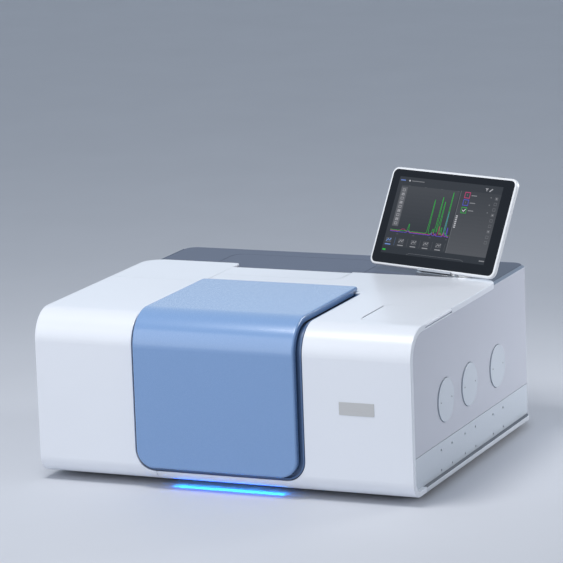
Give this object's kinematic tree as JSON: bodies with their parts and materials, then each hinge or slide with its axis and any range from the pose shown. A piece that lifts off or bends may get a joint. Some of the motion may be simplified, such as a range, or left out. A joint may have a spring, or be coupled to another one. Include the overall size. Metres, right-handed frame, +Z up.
{
  "type": "ftir spectrometer",
  "caption": "Benchtop infrared spectrometer with bent white covers, a hinged blue sample lid, side ports, a rear deck, an inner optical bench and a tilting tablet on a stand",
  "frame": {"origin": "on the bench, under the middle of the overall box with the tablet", "axes": "+X to the right across the front, +Y to the back, +Z up"},
  "size_m": [0.68, 0.593, 0.4468],
  "materials": {
    "white_paint": "satin powder coat",
    "blue_paint": "satin blue paint",
    "frame_blue": "satin darker blue paint",
    "slate_paint": "fine textured slate grey paint",
    "panel_paint": "satin lilac grey paint",
    "cast_aluminium": "machined and anodised",
    "black_rubber": "matt",
    "black_plastic": "matt moulded",
    "white_plastic": "smooth moulded",
    "steel": "brushed",
    "bracket_metal": "bead blasted",
    "plate_metal": "brushed and bare",
    "brass_fitting": "turned",
    "window_crystal": "polished",
    "mirror_gold": "polished",
    "screen_glass": "glossy front glass",
    "light_guide": "lit blue light guide",
    "board_green": "solder mask"
  },
  "bodies": {
    "chassis": {"base_plate": "cast_aluminium", "feet": "black_rubber", "left_cover": "white_paint", "right_cover": "white_paint", "bridge_cover": "white_paint", "rear_cover": "slate_paint", "service_hatch": "slate_paint", "side_panel_left": "panel_paint", "side_panel_right": "panel_paint", "side_rail_left": "panel_paint", "side_rail_right": "panel_paint", "port_covers": "panel_paint", "name_plate": "plate_metal", "status_light_bar": "light_guide", "compartment_frame": "frame_blue", "compartment_tub": "cast_aluminium", "window_rings": "steel", "port_windows": "window_crystal", "accessory_base": "cast_aluminium", "sample_holder": "cast_aluminium", "lid_seal": "black_rubber", "lid_knuckles": "frame_blue", "detector_well": "cast_aluminium", "detector_module": "cast_aluminium", "rear_panel": "panel_paint", "power_inlet": "black_plastic", "fan_frame": "black_plastic", "fan_guard": "steel", "data_ports": "steel", "purge_fittings": "brass_fitting", "folding_mirrors": "mirror_gold", "interferometer_frame": "cast_aluminium", "drive_magnet": "black_plastic", "beamsplitter_housing": "cast_aluminium", "beamsplitter_optic": "window_crystal", "source_housing": "cast_aluminium", "source_element": "steel", "wheel_motor": "black_plastic", "laser_module": "steel", "power_supply": "cast_aluminium", "control_board": "board_green", "tablet_pivot_pin": "steel", "tablet_stand": "bracket_metal"},
    "lid": {"lid_shell": "blue_paint", "lid_inner_panel": "black_plastic", "lid_hinge_pins": "steel"},
    "flap": {"detector_flap": "white_paint", "flap_hinge_pin": "steel"},
    "bay_cover": {"left_rear_cover": "white_paint"},
    "rocker": {"power_switch": "black_plastic"},
    "fan": {"fan_rotor": "black_plastic"},
    "pendulum": {"pendulum_arm": "cast_aluminium", "retroreflectors": "mirror_gold"},
    "wheel": {"aperture_wheel": "steel"},
    "lever": {"clamp_lever": "steel"},
    "tablet": {"tablet_case": "white_plastic", "tablet_glass": "screen_glass", "tablet_cradle": "bracket_metal"},
    "tablet_key": {"tablet_button": "black_plastic"}
  },
  "joints": [
    {"name": "lid_hinge", "type": "hinge", "parent": "chassis", "child": "lid", "pos_m": [-0.0185, -0.0152, 0.2893], "axis": [-1, 0, 0], "range_deg": [0, 75]},
    {"name": "flap_hinge", "type": "hinge", "parent": "chassis", "child": "flap", "pos_m": [0.3164, -0.1605, 0.2814], "axis": [0, 1, 0], "range_deg": [0, 110]},
    {"name": "bay_cover_lift", "type": "slide", "parent": "chassis", "child": "bay_cover", "axis": [0, 0, 1], "range_m": [0, 0.15]},
    {"name": "rocker_hinge", "type": "hinge", "parent": "chassis", "child": "rocker", "pos_m": [-0.225, 0.2805, 0.087], "axis": [1, 0, 0], "range_deg": [-9, 9]},
    {"name": "fan_spin", "type": "hinge", "parent": "chassis", "child": "fan", "pos_m": [0.18, 0.271, 0.15], "axis": [0, 1, 0], "continuous": true},
    {"name": "pendulum_swing", "type": "hinge", "parent": "chassis", "child": "pendulum", "pos_m": [-0.16, 0.1115, 0.128], "axis": [0, 0, 1], "range_deg": [-5, 5]},
    {"name": "aperture_wheel_turn", "type": "hinge", "parent": "chassis", "child": "wheel", "pos_m": [-0.276, 0.1735, 0.157], "axis": [0, 1, 0], "continuous": true},
    {"name": "clamp_lever_turn", "type": "hinge", "parent": "chassis", "child": "lever", "pos_m": [-0.25263, 0.01887, 0.195], "axis": [0, 0, 1], "range_deg": [0, 90]},
    {"name": "tablet_tilt", "type": "hinge", "parent": "chassis", "child": "tablet", "pos_m": [0.21363, 0.18604, 0.33885], "axis": [-0.9553, 0.2957, 0], "range_deg": [0, 35]},
    {"name": "tablet_key_press", "type": "slide", "parent": "tablet", "child": "tablet_key", "axis": [-0.131, -0.4233, -0.8965], "range_m": [0, 0.0006], "stiffness_N_per_m": 600}
  ]
}
